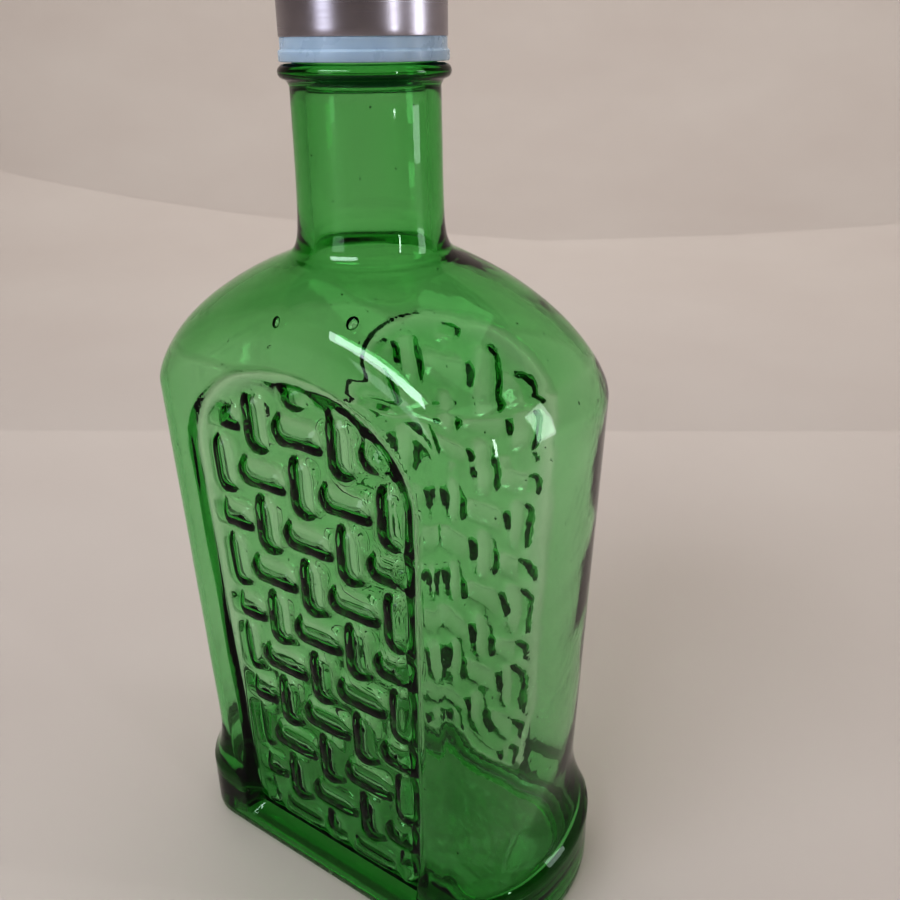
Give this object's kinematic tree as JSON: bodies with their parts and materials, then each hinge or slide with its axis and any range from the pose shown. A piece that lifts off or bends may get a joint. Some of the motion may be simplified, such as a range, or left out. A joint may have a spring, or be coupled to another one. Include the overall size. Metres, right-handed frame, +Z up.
{
  "type": "bottle",
  "caption": "Rectangular green glass household bottle with rounded ends, arched basket-weave panels, a round neck and a steel-skinned screw cap.",
  "frame": {"origin": "centre of the foot, on the surface the bottle stands on", "axes": "+Z up along the neck, +X along the broad faces, -Y out of the front broad face"},
  "size_m": [0.1386, 0.075, 0.2775],
  "materials": {
    "glass": "clear green",
    "seal": "soft matt",
    "insert": "translucent natural",
    "shell": "bright drawn"
  },
  "bodies": {
    "bottle": {"glass_bottle": "glass"},
    "seal": {"seal_disc": "seal"},
    "cap": {"cap_insert": "insert", "cap_shell": "shell"}
  },
  "joints": [
    {"name": "cap_lift", "type": "slide", "parent": "bottle", "child": "seal", "axis": [0, 0, 1], "range_m": [0, 0.0081]},
    {"name": "cap_turn", "type": "hinge", "parent": "seal", "child": "cap", "pos_m": [0, 0, 0.25], "axis": [0, 0, 1], "range_deg": [0, 720]}
  ],
  "couplings": [
    {"joint": "cap_lift", "follows": "cap_turn", "m_per_rad": 0.00063662}
  ]
}
